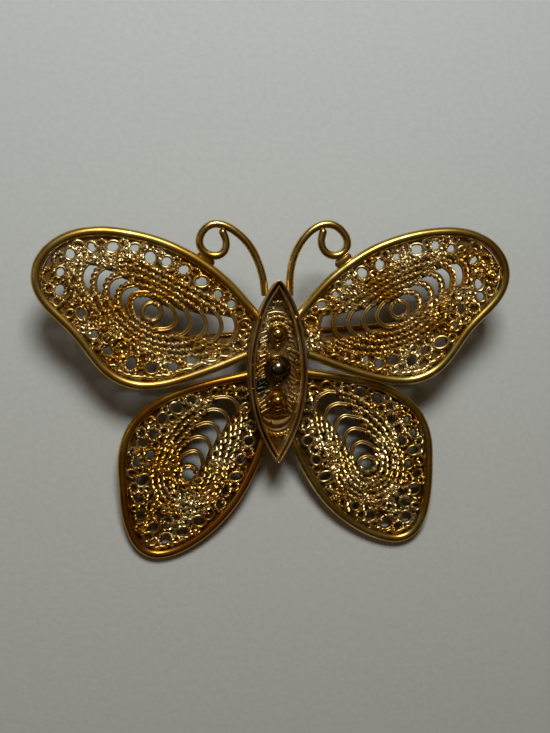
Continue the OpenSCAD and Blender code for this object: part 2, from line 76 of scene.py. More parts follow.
# Toward which angle a ball's collar runs out to a point, and how far
COLLAR_POINTS = {"bead_middle": (-math.pi / 2, 0.4), "bead_lower": (math.pi / 2, 0.85)}
# Inputs of the node group, and what each plating gives them: its Clean, Rubbed and Turned colour, the
# shares of turned, copper, and dark tarnish with painted shade in hollows, the least roughness and the
# depth of its dents
WEAR_COLOURS = ("Clean", "Rubbed", "Turned", "Base metal", "Dark tarnish and shade")
WEAR_AMOUNTS = ("Turned share", "Copper share", "Dark tarnish and shade share", "Least roughness", "Dent depth")
PLATINGS = {
    "Warm frame plating": (("gold", "pale_gold", "green_gold"), (0.85, 0.5, 0, 0.3, 0.1)),
    # Green and coppery frame platings: partly tarnish, partly painted reflection of the surroundings
    "Green frame plating with painted reflection": (("gold", "pale_gold", "green_gold"), (0.95, 0.3, 0, 0.26, 0.1)),
    "Coppery frame plating with painted reflection": (("copper", "gold", "green_gold"), (0.5, 0.9, 0, 0.24, 0.1)),
    "Filigree plating": (("gold", "worn_gold", "green_gold"), (0.35, 0.2, 1, 0.3, 0.1)),
    # The lower wings' darker copy: partly more tarnish, partly painted shade
    "Dark filigree plating with painted shade": (("gold", "worn_gold", "green_gold"), (0.55, 0.35, 1, 0.28, 0.12)),
    "Body plating": (("gold", "worn_gold", "green_gold"), (0.3, 0.25, 0.65, 0.3, 0.3)),
    "Ball plating": (("gold", "pale_gold", "green_gold"), (0.3, 0.3, 0.8, 0.13, 0.12)),
    "Blued ball plating": (("steel", "gold", "steel"), (0.7, 0.2, 0.8, 0.16, 0.15)),
    "Antenna plating": (("gold", "pale_gold", "green_gold"), (0.5, 0.3, 0, 0.22, 0.1)),
    "Pin plating": (("gold", "copper", "green_gold"), (0.3, 0.8, 0, 0.24, 0.3)),
}
WINGS = (
    "forewing_filigree_left",
    "forewing_filigree_right",
    "hindwing_filigree_left",
    "hindwing_filigree_right",
)
FRAMES = (
    "forewing_frame_left",
    "forewing_frame_right",
    "hindwing_frame_left",
    "hindwing_frame_right",
)
BALLS = ("bead_upper", "bead_middle", "bead_lower")
ANTENNAE = ("antenna_left", "antenna_right")


# The brooch's own flat frame: the middle of the body at the origin, the front toward +Z


def wing_tilt():
    """Angle about X at which the brooch rests, read from the flat faces of its openwork."""
    up = Vector()
    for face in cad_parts["forewing_filigree_right"].data.polygons:
        if face.normal.z > 0.9:
            up += face.normal * face.area
    return math.atan2(-up.y, up.z)


def flat_points(node, to_flat):
    """Points of a node's mesh, seen in the flat frame."""
    return np.array([to_flat @ v.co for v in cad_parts[node].data.vertices])


def flat_span(node, to_flat):
    """Lowest and highest corners of a node, seen in the flat frame."""
    points = flat_points(node, to_flat)
    return points.min(0), points.max(0)


def flat_frame():
    """Matrix that lays the resting brooch flat."""
    turn_back = Matrix.Rotation(-wing_tilt(), 4, "X")
    cup_low, cup_high = flat_span("body_cup", turn_back)
    wire_low, wire_high = flat_span("forewing_frame_right", turn_back)
    middle = Vector((0, (cup_low[1] + cup_high[1]) / 2, (wire_low[2] + wire_high[2]) / 2))
    return Matrix.Translation(-middle) @ turn_back


TO_FLAT = flat_frame()
FROM_FLAT = TO_FLAT.inverted()


# Sizes and colours


def amount(name, description, default, unit="LENGTH"):
    """A size in metres, or another amount with its unit."""
    return bpy.props.FloatProperty(
        name=name, description=description, default=default, min=0.0, precision=5, unit=unit
    )


def colour(name, description, default):
    """A linear colour."""
    return bpy.props.FloatVectorProperty(
        name=name, description=description, default=default, size=3, subtype="COLOR", min=0, max=1
    )


class BroochSizes(bpy.types.PropertyGroup):
    """Sizes of the wires and ropes."""

    frame_d: amount("Frame wire", "Diameter of the wire round a wing", 1.2 * MM)
    antenna_d: amount("Antenna wire", "Diameter of an antenna's wire", 0.96 * MM)
    strand_d: amount("Strand", "Diameter of a strand of the loops' ropes", 0.42 * MM)
    rope_lay: amount("Rope lay", "Length of one turn of the loops' ropes", 1.65 * MM)
    fine_strand_d: amount("Fine strand", "Diameter of a strand of the small ropes", 0.35 * MM)
    fine_lay: amount("Fine lay", "Length of one turn of the small ropes", 1.6 * MM)
    body_strand_d: amount("Body strand", "Diameter of a strand of the body's ropes", 0.46 * MM)
    body_lay: amount("Body lay", "Length of one turn of the body's ropes", 1.5 * MM)
    ribbon_t: amount("Ribbon", "Thickness of the ribbons that stand under the ropes", 0.24 * MM)
    wall_t: amount("Body wall", "Thickness of the body's wall", 0.34 * MM)
    floor_depth: amount("Body floor", "Depth of the body's floor below the rim", 2.2 * MM)
    wobble: amount("Wobble", "How far hand-made wires stray from their line", 0.05 * MM)
    seed: bpy.props.IntProperty(name="Seed", description="Seed of the hand-made strays", default=11)


class BroochColours(bpy.types.PropertyGroup):
    """Colours of the finishes."""

    gold: colour("Gold", "Clean plating", (0.73, 0.44, 0.07))
    pale_gold: colour("Pale gold", "Plating where it is rubbed", (0.86, 0.64, 0.25))
    worn_gold: colour("Worn gold", "Plating on the crowns of the ropes", (0.93, 0.75, 0.43))
    green_gold: colour("Green gold", "Plating that has turned toward green", (0.37, 0.285, 0.05))
    copper: colour("Copper", "Base metal through the plating", (0.50, 0.20, 0.02))
    # Dark colour laid in hollows: partly real tarnish, partly painted shade
    tarnish_and_shade: colour("Dark tarnish and shade", "Dark tarnish in the hollows", (0.075, 0.025, 0.001))
    steel: colour("Blue tarnish", "Tarnish on the middle ball", (0.10, 0.13, 0.12))
    floor: colour("Floor", "Surface that the brooch lies on", (0.62, 0.65, 0.625))
    near_floor: colour("Near floor", "The same surface at the near edge", (0.65, 0.64, 0.60))


class BroochStage(bpy.types.PropertyGroup):
    """Camera and lights."""

    camera_place: bpy.props.FloatVectorProperty(
        name="Camera", description="Place of the camera", subtype="TRANSLATION", unit="LENGTH",
        default=(-14.50 * MM, 2.333 * MM, 118.39 * MM),
    )
    camera_turn: bpy.props.FloatVectorProperty(
        name="Camera turn", description="Its pitch, yaw and roll", subtype="EULER", unit="ROTATION",
        default=(math.radians(0.498), math.radians(-7.2), math.radians(-1)),
    )
    lens: amount("Lens", "Focal length on a 36 mm sensor", 45, "CAMERA")
    window_power: amount("Window", "Power of the soft light beyond the head", 0.42, "POWER")
    side_power: amount("Side", "Power of the weak light from the left", 0.012, "POWER")


# Lines: arrays of points in the flat frame


def norms(rows):
    """Length of each row."""
    return np.linalg.norm(rows, axis=1)


def travelled(line):
    """Distance along a line at each of its points."""
    return np.concatenate(([0.0], np.cumsum(norms(np.diff(line, axis=0)))))


def evenly(line, step):
    """The same line with points at even steps."""
    way = travelled(line)
    places = np.linspace(0, way[-1], max(2, round(way[-1] / step)) + 1)
    return np.stack([np.interp(places, way, line[:, k]) for k in range(line.shape[1])], axis=1)


def closed_line(outline, step):
    """A line right round an outline, with points at even steps."""
    return evenly(np.vstack((outline, outline[:1])), step)


def part_of(line, start, end):
    """Points of a closed line from one number to another, on past its end if need be."""
    return np.array([line[i % (len(line) - 1)] for i in range(start, end + 1)])


def smoothed(points, closed, parts=8):
    """A curve without kinks through the points."""
    p = np.asarray(points, float)
    if closed:
        q = np.concatenate((p[-1:], p, p[:2]))
    else:
        q = np.concatenate((2 * p[:1] - p[1:2], p, 2 * p[-1:] - p[-2:-1]))
    t = np.linspace(0, 1, parts, endpoint=False)[:, None]
    spans = [
        q[i]
        + 0.5 * t * (q[i + 1] - q[i - 1])
        + t**2 * (q[i - 1] - 2.5 * q[i] + 2 * q[i + 1] - 0.5 * q[i + 2])
        + t**3 * (1.5 * (q[i] - q[i + 1]) + 0.5 * (q[i + 2] - q[i - 1]))
        for i in range(1, len(q) - 2)
    ]
    end = p[:1] if closed else p[-1:]
    return np.concatenate(spans + [end])


def directions(line, closed):
    """Unit direction of a line at each of its points."""
    ahead = np.roll(line, -1, axis=0)
    behind = np.roll(line, 1, axis=0)
    if closed:
        ahead[-1] = line[1]
        behind[0] = line[-2]
    else:
        ahead[-1] = line[-1]
        behind[0] = line[0]
    along = ahead - behind
    return along / norms(along)[:, None]


def sideways(line, closed):
    """Unit direction to the left of a line at each of its points."""
    along = directions(line, closed)
    return np.stack((-along[:, 1], along[:, 0]), axis=1)


def strayed(line, closed, reach, seed, scale=0.9):
    """A line moved a little from its course, as hand-bent wire is."""
    way = travelled(line)
    fade = np.minimum(way, way[-1] - way) / MM if closed else np.ones(len(way))
    moves = [noise.noise(Vector((x / MM * scale, y / MM * scale, seed * 7.3))) for x, y in line]
    return line + sideways(line, closed) * (np.array(moves) * reach * np.clip(fade, 0, 1))[:, None]


def run_on(stations, at_start, at_end, step):
    """A smooth line through the stations of a wire, drawn out past its two ends."""
    first = stations[0] - stations[1]
    last = stations[-1] - stations[-2]
    start = stations[0] + first / np.linalg.norm(first) * at_start
    end = stations[-1] + last / np.linalg.norm(last) * at_end
    return evenly(smoothed(np.vstack((start, stations, end)), False), step)


def ring_line(middle, radius, start=0.0, turn=2 * math.pi, stretch=1.0, heading=0.0):
    """Part of a round or oval line."""
    steps = max(6, round(abs(turn) / 0.2))
    angles = start + np.linspace(0, turn, steps + 1)
    x = radius * stretch * np.cos(angles)
    y = radius / stretch * np.sin(angles)
    c, s = math.cos(heading), math.sin(heading)
    return np.stack((middle[0] + c * x - s * y, middle[1] + s * x + c * y), axis=1)


def area(loop):
    """Area inside a closed outline."""
    x, y = loop[:, 0], loop[:, 1]
    return abs(np.dot(x, np.roll(y, -1)) - np.dot(y, np.roll(x, -1))) / 2


def gaps_between(points, line):
    """Distance from each point to each point of a line."""
    return np.linalg.norm(points[:, None, :] - line[None, :, :], axis=2)


def reach_to(points, line):
    """Distance from each point to the nearest point of a line."""
    return gaps_between(points, line).min(1)


def nearest(points, line):
    """The point of a line that is nearest to each point."""
    return line[gaps_between(points, line).argmin(1)]


def inside(points, loop):
    """Which points lie inside a closed outline."""
    x, y = points[:, 0][:, None], points[:, 1][:, None]
    x0, y0 = loop[:, 0], loop[:, 1]
    x1, y1 = np.roll(x0, -1), np.roll(y0, -1)
    crossing = (y0 > y) != (y1 > y)
    rise = np.where(y1 == y0, 1.0, y1 - y0)
    left = x < (x1 - x0) * (y - y0) / rise + x0
    return (crossing & left).sum(1) % 2 == 1


# Reading the solids


def flat_copy(node):
    """A node's mesh without seams, laid flat."""
    bm = bmesh.new()
    bm.from_mesh(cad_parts[node].data)
    bmesh.ops.transform(bm, matrix=TO_FLAT, verts=bm.verts)
    bmesh.ops.remove_doubles(bm, verts=bm.verts, dist=SEAM)
    return bm


def slice_level(bm, height, drop_above, drop_below):
    """Cuts a mesh level at one height, drops what is above or below and gives the cut."""
    return bmesh.ops.bisect_plane(
        bm,
        geom=bm.verts[:] + bm.edges[:] + bm.faces[:],
        dist=SEAM / 10,
        plane_co=(0, 0, height),
        plane_no=(0, 0, 1),
        clear_outer=drop_above,
        clear_inner=drop_below,
    )["geom_cut"]


def cut_level(bm, height, keep_above):
    """Cuts a mesh level at one height, drops one side and closes the cut."""
    cut = slice_level(bm, height, not keep_above, keep_above)
    edges = [e for e in cut if isinstance(e, bmesh.types.BMEdge)]
    bmesh.ops.triangle_fill(bm, edges=edges, use_beauty=True)


def chain(corner, left):
    """Points of a section from one corner on, as far as its edges go; used corners leave the rest."""
    row = []
    while corner:
        left.pop(corner, None)
        row.append(corner.co.xy.copy())
        ways = [e.other_vert(corner) for e in corner.link_edges]
        corner = next((v for v in ways if v in left), None)
    return row


def outlines(node, height):
    """Closed outlines of a node at one height of the flat frame, the widest first."""
    bm = flat_copy(node)
    slice_level(bm, height, True, True)
    loops = []
    left = dict.fromkeys(bm.verts)
    while left:
        corner = next(iter(left))
        ahead = chain(corner, left)
        loop = chain(corner, left)[:0:-1] + ahead
        if len(loop) > 5:
            loops.append(np.array(loop))
    bm.free()
    return sorted(loops, key=area, reverse=True)


def wire_line(node, diameter):
    """Middle of a round wire, from the points that face each other across its rings of points."""
    points = np.unique(np.round(flat_points(node, TO_FLAT), 7), axis=0)
    level = (points[:, 2].min() + points[:, 2].max()) / 2
    sides = points[abs(points[:, 2] - level) < 5e-6]
    middles = []
    for i, p in enumerate(sides):
        gaps = norms(sides[i + 1 :] - p) - diameter
        for k in np.flatnonzero(abs(gaps) < 4e-6):
            middle = (p + sides[i + 1 + k]) / 2
            ring = abs(norms(points - middle) - diameter / 2) < 6e-6
            if ring.sum() >= 7:
                middles.append(middle)
    left = np.array(middles)[:, :2]
    # The end nearest the body's middle starts the line
    line = []
    here = left[norms(left).argmin()]
    while len(left):
        here = left[norms(left - here).argmin()]
        line.append(here)
        left = left[norms(left - here) > 0.1 * MM]
    return np.array(line), level


# Straight wires along X, drawn with spin and then bent along a line


def round_profile(bm, radius, sides, lift=0.0):
    """Edge ring of a round strand."""
    place = Matrix.Translation((0, 0, lift)) @ Matrix.Rotation(math.pi / 2, 4, "Y")
    bmesh.ops.create_circle(bm, cap_ends=False, segments=sides, radius=radius, matrix=place)


def strip_profile(bm, thickness, height, softness=0.45):
    """Edge ring of a standing strip with rounded corners."""
    signs = ((-1, -1), (1, -1), (1, 1), (-1, 1))
    corners = [bm.verts.new((0, y * thickness / 2, z * height / 2)) for y, z in signs]
    bm.faces.new(corners)
    bmesh.ops.bevel(
        bm,
        geom=corners,
        offset=thickness * softness,
        offset_type="OFFSET",
        segments=2,
        profile=0.5,
        affect="VERTICES",
        material=-1,
    )
    bmesh.ops.delete(bm, geom=bm.faces[:], context="FACES_ONLY")


def draw_out(bm, reach, steps, turns=0.0):
    """Draws the edges of a bmesh out along X, with a twist."""
    bmesh.ops.spin(
        bm,
        geom=bm.verts[:] + bm.edges[:],
        cent=(0, 0, 0),
        axis=(1, 0, 0),
        dvec=(reach / steps, 0, 0),
        angle=turns * 2 * math.pi,
        steps=steps,
        use_merge=False,
        use_normal_flip=False,
        use_duplicate=False,
    )


def bend(bm, line, closed, lift):
    """Bends a straight wire onto a line and closes its ends."""
    way = travelled(line)
    along = directions(line, closed)
    co = np.array([v.co for v in bm.verts])
    s = np.clip(co[:, 0], 0, way[-1])
    x = np.interp(s, way, line[:, 0])
    y = np.interp(s, way, line[:, 1])
    tx = np.interp(s, way, along[:, 0])
    ty = np.interp(s, way, along[:, 1])
    z = np.interp(s, way, line[:, 2]) if line.shape[1] > 2 else 0.0
    x = x - ty * co[:, 1]
    y = y + tx * co[:, 1]
    z = z + co[:, 2] + lift
    for v, px, py, pz in zip(bm.verts, x, y, z):
        v.co = (px, py, pz)
    if closed:
        bmesh.ops.remove_doubles(bm, verts=bm.verts, dist=SEAM)
    else:
        bmesh.ops.holes_fill(bm, edges=bm.edges)


def pour(bm, part):
    """Adds a part to a piece and frees the part."""
    mesh = bpy.data.meshes.new("part")
    part.to_mesh(mesh)
    part.free()
    bm.from_mesh(mesh)
    bpy.data.meshes.remove(mesh)


def add_rope(bm, line, closed, lift, strand_d, lay, steps=9, sides=6):
    """A rope of two strands along a line."""
    reach = travelled(line)[-1]
    turns = max(1, round(reach / lay)) if closed else reach / lay
    part = bmesh.new()
    for side in (-1, 1):
        round_profile(part, strand_d / 2, sides, side * strand_d * 0.46)
    draw_out(part, reach, max(3, round(turns * steps)), turns)
    bend(part, line, closed, lift)
    pour(bm, part)


def add_wire(bm, line, closed, lift, diameter, step=0.25 * MM, sides=8, round_end=False):
    """A plain round wire along a line."""
    reach = travelled(line)[-1]
    part = bmesh.new()
    round_profile(part, diameter / 2, sides)
    draw_out(part, reach, max(3, round(reach / step)))
    if round_end:
        for v in part.verts:
            share = min(1.0, (reach - v.co.x) / (diameter / 2))
            swell = math.sqrt(max(0.03, 1 - (1 - share) ** 2))
            v.co.y *= swell
            v.co.z *= swell
    bend(part, line, closed, lift)
    pour(bm, part)


def add_strip(bm, line, closed, low, high, thickness, step=0.3 * MM):
    """A standing ribbon along a line."""
    reach = travelled(line)[-1]
    part = bmesh.new()
    strip_profile(part, thickness, high - low)
    draw_out(part, reach, max(3, round(reach / step)))
    bend(part, line, closed, (low + high) / 2)
    pour(bm, part)


def add_ball(bm, middle, diameter, detail):
    """A ball of wire or solder."""
    bmesh.ops.create_icosphere(
        bm, subdivisions=detail, radius=diameter / 2, matrix=Matrix.Translation(middle)
    )


# Finishing a piece


def placed(name, data):
    """A new object in the scene."""
    item = bpy.data.objects.new(name, data)
    bpy.context.scene.collection.objects.link(item)
    return item


def finish_piece(name, bm, nodes, finish, hollow=None):
    """Turns a flat bmesh into a piece at rest. hollow gives the heights where dark tarnish with painted
    shade is full and where it ends.
    """
    bmesh.ops.recalc_face_normals(bm, faces=bm.faces)
    heights = np.array([v.co.z for v in bm.verts])
    bmesh.ops.transform(bm, matrix=FROM_FLAT, verts=bm.verts)
    for face in bm.faces:
        face.smooth = True
    for edge in bm.edges:
        edge.smooth = edge.calc_face_angle(0) < math.radians(50)
    mesh = bpy.data.meshes.new(name)
    bm.to_mesh(mesh)
    bm.free()
    # The hollow attribute lays dark tarnish and painted shade, full at the lower height and gone at the
    # higher
    dark, clear_level = hollow if hollow else (-1.0, 0.0)
    depth = np.clip((clear_level - heights) / (clear_level - dark), 0, 1).astype(np.float32)
    mesh.attributes.new("hollow", "FLOAT", "POINT").data.foreach_set("value", depth)
    piece = placed(name, mesh)
    mesh.materials.append(finish)
    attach(piece, "root")
    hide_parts(*nodes)


# Materials


def fill(tree, socket, value):
    """Links a socket to another one, or gives it a value."""
    if isinstance(value, bpy.types.NodeSocket):
        tree.links.new(value, socket)
    else:
        socket.default_value = value


def wired(tree, kind, **inputs):
    """A node with its sockets and settings filled in; a socket is linked where its value is one."""
    node = tree.nodes.new(kind)
    for key, value in inputs.items():
        name = key.replace("_", " ")
        socket = next((s for s in node.inputs if s.name == name and s.enabled), None)
        if socket is None:
            setattr(node, key, value)
        else:
            fill(tree, socket, value)
    return node


def speckle(tree, place, scale, detail, roughness=0.5):
    """Noise over the surface."""
    node = wired(
        tree, "ShaderNodeTexNoise", Vector=place, Scale=scale, Detail=detail, Roughness=roughness
    )
    return node.outputs["Fac"]


def blended(tree, share, first, second):
    """Mixes two colours."""
    node = wired(tree, "ShaderNodeMix", data_type="RGBA")
    # The colour sockets of a mix node are numbers 6 and 7 in and number 2 out
    for number, value in ((0, share), (6, first), (7, second)):
        fill(tree, node.inputs[number], value)
    return node.outputs[2]


def scaled(tree, value, low, high, to_low=0.0, to_high=1.0):
    """Maps one range of a value to another, clamped."""
    limits = {"From_Min": low, "From_Max": high, "To_Min": to_low, "To_Max": to_high}
    return wired(tree, "ShaderNodeMapRange", Value=value, **limits).outputs["Result"]


def math_node(tree, operation, first, second):
    """Sum or product of two values, clamped."""
    node = wired(tree, "ShaderNodeMath", operation=operation, use_clamp=True)
    for socket, value in zip(node.inputs, (first, second)):
        fill(tree, socket, value)
    return node.outputs[0]


def wear_and_shade_group():
    """Node group that gives tarnished plating its colour, gloss and small dents, and painted shade with
    dark tarnish in its hollows.
    """
    tree = bpy.data.node_groups.new("Tarnished plating with painted shade", "ShaderNodeTree")
    face = tree.interface
    for name in WEAR_COLOURS:
        face.new_socket(name=name, in_out="INPUT", socket_type="NodeSocketColor")
    for name in ("Hollow", *WEAR_AMOUNTS):
        face.new_socket(name=name, in_out="INPUT", socket_type="NodeSocketFloat")
    face.new_socket(name="Colour", in_out="OUTPUT", socket_type="NodeSocketColor")
    face.new_socket(name="Roughness", in_out="OUTPUT", socket_type="NodeSocketFloat")
    face.new_socket(name="Normal", in_out="OUTPUT", socket_type="NodeSocketVector")
    given = tree.nodes.new("NodeGroupInput").outputs
    place = tree.nodes.new("ShaderNodeTexCoord").outputs["Object"]
    broad = speckle(tree, place, 210, 3)
    patchy = speckle(tree, place, 520, 4, 0.6)
    fine = speckle(tree, place, 2600, 3)
    colour = blended(tree, scaled(tree, broad, 0.35, 0.65), given["Clean"], given["Rubbed"])
    turned = math_node(tree, "MULTIPLY", scaled(tree, patchy, 0.35, 0.6), given["Turned share"])
    colour = blended(tree, turned, colour, given["Turned"])
    copper = math_node(tree, "MULTIPLY", scaled(tree, broad, 0.62, 0.42), given["Copper share"])
    colour = blended(tree, copper, colour, given["Base metal"])
    # Dark tarnish and painted shade where the hollow attribute is high
    tarnish_and_shade = math_node(tree, "MULTIPLY", given["Hollow"], scaled(tree, fine, 0.25, 0.6, 0.75, 1.0))
    tarnish_and_shade = math_node(tree, "MULTIPLY", tarnish_and_shade, given["Dark tarnish and shade share"])
    colour = blended(tree, tarnish_and_shade, colour, given["Dark tarnish and shade"])
    rough = scaled(tree, patchy, 0.3, 0.7, 0.0, 0.12)
    rough = math_node(tree, "ADD", rough, given["Least roughness"])
    rough = math_node(tree, "ADD", rough, math_node(tree, "MULTIPLY", tarnish_and_shade, 0.3))
    dents = math_node(tree, "ADD", math_node(tree, "MULTIPLY", fine, 0.4), patchy)
    height = math_node(tree, "MULTIPLY", dents, given["Dent depth"])
    bump = wired(tree, "ShaderNodeBump", Height=height, Strength=0.6, Distance=0.1 * MM)
    wired(tree, "NodeGroupOutput", Colour=colour, Roughness=rough, Normal=bump.outputs["Normal"])
    return tree


def plating(name):
    """A tarnished gold finish; its darkness in hollows, dark tarnish and painted shade, follows the
    piece's own attribute.
    """
    colours = bpy.context.scene.brooch_colours
    tints, amounts = PLATINGS[name]
    material = bpy.data.materials.new(name)
    material.use_nodes = True
    tree = material.node_tree
    shader = tree.nodes["Principled BSDF"]
    shader.inputs["Metallic"].default_value = 1.0
    wear_and_shade = tree.nodes.new("ShaderNodeGroup")
    wear_and_shade.node_tree = bpy.data.node_groups.get("Tarnished plating with painted shade") or wear_and_shade_group()
    for socket, tint in zip(WEAR_COLOURS, (*tints, "copper", "tarnish_and_shade")):
        wear_and_shade.inputs[socket].default_value = (*getattr(colours, tint), 1)
    for socket, value in zip(WEAR_AMOUNTS, amounts):
        wear_and_shade.inputs[socket].default_value = value
    hollow = wired(tree, "ShaderNodeAttribute", attribute_name="hollow")
    tree.links.new(hollow.outputs["Fac"], wear_and_shade.inputs["Hollow"])
    for given, taken in (("Colour", "Base Color"), ("Roughness", "Roughness"), ("Normal", "Normal")):
        tree.links.new(wear_and_shade.outputs[given], shader.inputs[taken])
    return material


# Pieces


class BROOCH_OT_wing_frames(bpy.types.Operator):
    """The round wires that frame the wings"""

    bl_idname = "brooch.wing_frames"
    bl_label = "Wing frames"

    def execute(self, context):
        sizes = context.scene.brooch_sizes
        warm = plating("Warm frame plating")
        green = plating("Green frame plating with painted reflection")
        red = plating("Coppery frame plating with painted reflection")
        past_end = 0.9 * MM
        # The frames' tints are partly tarnish, partly painted reflection: green on the right, coppery on
        # the lower left
        for number, (node, finish) in enumerate(zip(FRAMES, (warm, green, red, green))):
            stations, level = wire_line(node, SOLID_FRAME_D)
            line = run_on(stations, past_end, past_end, 0.3 * MM)
            line = strayed(line, False, sizes.wobble, sizes.seed + number, 0.25)
            bm = bmesh.new()
            add_wire(bm, line, False, level, sizes.frame_d, step=0.3 * MM, sides=18)
            finish_piece(f"frame_{node}", bm, (node,), finish)
        return {"FINISHED"}


class WingPlan:
    """What the sections of a wing's openwork give: its levels, edge, gaps and loops."""

    def __init__(self, node):
        low, high = flat_span(node, TO_FLAT)
        self.base = low[2]
        self.crown = high[2] - CROWN_DROP
        plate = outlines(node, self.base + PLATE_CUT)
        bands = outlines(node, high[2] - BAND_CUT)
        self.edge = plate[0]
        self.rings = []
        self.crescents = []
        for gap in plate[1:]:
            spread = gap.max(0) - gap.min(0)
            # A round gap is as wide as it is high
            if abs(spread[0] - spread[1]) < 0.06 * MM:
                self.rings.append(((gap.max(0) + gap.min(0)) / 2, spread.mean() / 2))
            else:
                self.crescents.append(gap)
        self.loops = []
        for outer, inner in zip(bands[0::2], bands[1::2]):
            outer = smoothed(outer, True, 4)
            inner = smoothed(inner, True, 4)[:-1]
            self.loops.append((outer + nearest(outer, inner)) / 2)

    def open_share(self, line, reach=0.42 * MM):
        """Whether each point of a loop borders a crescent."""
        gaps = np.concatenate([closed_line(crescent, 0.15 * MM) for crescent in self.crescents])
        return reach_to(line, gaps) < reach

    def open_room(self, points):
        """Whether each point lies in a crescent or close to one."""
        hit = self.open_share(points, 0.25 * MM)
        for crescent in self.crescents:
            hit |= inside(points, crescent)
        return hit


def stretches(flags):
    """Start and end of each run of equal flags round a closed line, with its flag."""
    count = len(flags)
    starts = [i for i in range(count) if flags[i] != flags[i - 1]]
    if not starts:
        return [(0, count, bool(flags[0]))]
    return [
        (a, b if b > a else b + count, bool(flags[a]))
        for a, b in zip(starts, starts[1:] + starts[:1])
    ]


def openwork_mesh(sizes, plan, node, number):
    """The solid's plate, and on it everything that is soldered together in one wing."""
    bm = flat_copy(node)
    cut_level(bm, plan.base + PLATE_CUT, False)
    cut_level(bm, plan.base + FOOT_CUT, True)
    add_loops(bm, sizes, plan, number)
    add_edge(bm, sizes, plan)
    blind = packed_rings(plan)
    for middle, radius in plan.rings:
        add_ring(bm, sizes, middle, radius + 0.14 * MM, plan.base, plan.crown, 0.6)
    for middle, radius in blind:
        add_ring(bm, sizes, middle, radius, plan.base + 0.25 * MM, plan.crown, 0.25)
    add_scraps(bm, sizes, plan)
    return bm


def add_loops(bm, sizes, plan, number):
    """Ropes on standing ribbons; where they border a crescent they are a pair of plain wires."""
    base, crown = plan.base, plan.crown
    # The lower wings are bent less evenly
    wobble = sizes.wobble * (1.6 if number < 2 else 3.5)
    for k, loop in enumerate(plan.loops):
        line = strayed(evenly(loop, 0.2 * MM), True, wobble, number * 10 + k)
        for start, end, bare in stretches(plan.open_share(line[:-1])):
            way = part_of(line, start, end)
            if len(way) < 4:
                continue
            outward = abs(way[:, 0].mean()) > abs(plan.loops[-1][:, 0].mean())
            across = sideways(way, False)
            if bare and (not outward or k == len(plan.loops) - 1):
                add_strip(bm, way, False, base, crown, sizes.ribbon_t * 1.6)
                for side in (-0.13, 0.13):
                    high = crown + random.uniform(-0.05, 0.08) * MM
                    add_wire(bm, way + side * MM * across, False, high, 0.3 * MM)
                continue
            add_strip(bm, way, False, base, crown, sizes.ribbon_t * (2.7 if bare else 1))
            if bare:
                add_wire(bm, way + 0.28 * MM * across, False, crown, 0.34 * MM)
                way = way - 0.16 * MM * across
            waves = [noise.noise(Vector((x, y, k * MM)) * 400) * 0.16 * MM for x, y in way]
            way = np.column_stack((way, waves))
            size = random.uniform(0.94, 1.05) * (0.85 if bare else 1)
            add_rope(bm, way, False, crown, sizes.strand_d * size, sizes.rope_lay * size, 11, 7)
    for k, (outer, inner) in enumerate(zip(plan.loops, plan.loops[1:])):
        add_between(bm, sizes, plan, outer, inner, number * 10 + k)


def add_between(bm, sizes, plan, outer, inner, seed):
    """Ropes that fill the room between two loops where it is wide but not open."""
    line = evenly(outer, 0.2 * MM)
    facing = nearest(line, inner)
    middle = (line + facing) / 2
    filled = (norms(line - facing) > 1.0 * MM) & ~plan.open_room(middle)
    lift = plan.crown - 0.08 * MM
    for start, end, wide in stretches(filled[:-1]):
        if not wide or end - start < 4:
            continue
        way = evenly(part_of(middle, start, end), 0.2 * MM)
        way = strayed(way, False, sizes.wobble * 2, seed + 50)
        size = random.uniform(0.9, 1.02)
        add_rope(bm, way, False, lift, sizes.strand_d * size, sizes.rope_lay * size, 10, 7)


def add_edge(bm, sizes, plan):
    """A ribbon that closes the openwork against the frame, and solder along its low end."""
    edge = closed_line(plan.edge, 0.25 * MM)
    add_strip(bm, edge, True, plan.base, plan.crown - 0.25 * MM, sizes.ribbon_t)
    inward = plan.loops[-1].mean(0) - edge
    solder = edge + inward / norms(inward)[:, None] * 0.3 * MM
    low_end = edge[:, 1].min() + 2.6 * MM
    for start, end, low in stretches(edge[:-1, 1] < low_end):
        if low and end - start > 4:
            way = evenly(part_of(solder, start, end), 0.12 * MM)
            way = strayed(way, False, 0.3 * MM, sizes.seed, 2.5)
            add_wire(bm, way, False, plan.crown + 0.1 * MM, 0.48 * MM, step=0.12 * MM, sides=10)


def packed_rings(plan):
    """Rings that fill the room between edge, loops and round gaps, the widest first."""
    low, high = plan.edge.min(0), plan.edge.max(0)
    axes = [np.arange(a, b, 0.12 * MM) for a, b in zip(low, high)]
    spots = np.stack(np.meshgrid(*axes), axis=-1).reshape(-1, 2)
    spots = spots[inside(spots, plan.edge) & ~inside(spots, plan.loops[0])]
    edge = closed_line(plan.edge, 0.15 * MM)
    outer_loop = evenly(plan.loops[0], 0.15 * MM)
    room = np.minimum(reach_to(spots, edge) + 0.1 * MM, reach_to(spots, outer_loop) - 0.2 * MM)
    for middle, radius in plan.rings:
        room = np.minimum(room, norms(spots - middle) - radius - 0.15 * MM)
    rings = []
    for radius in (0.72, 0.62, 0.52, 0.42):
        while True:
            free = np.flatnonzero(room > radius * MM)
            if not len(free):
                break
            middle = spots[free[random.randrange(len(free))]]
            rings.append((middle, radius * MM))
            away = norms(spots - middle)
            room = np.minimum(room, away - (radius + 0.26) * MM)
    return rings


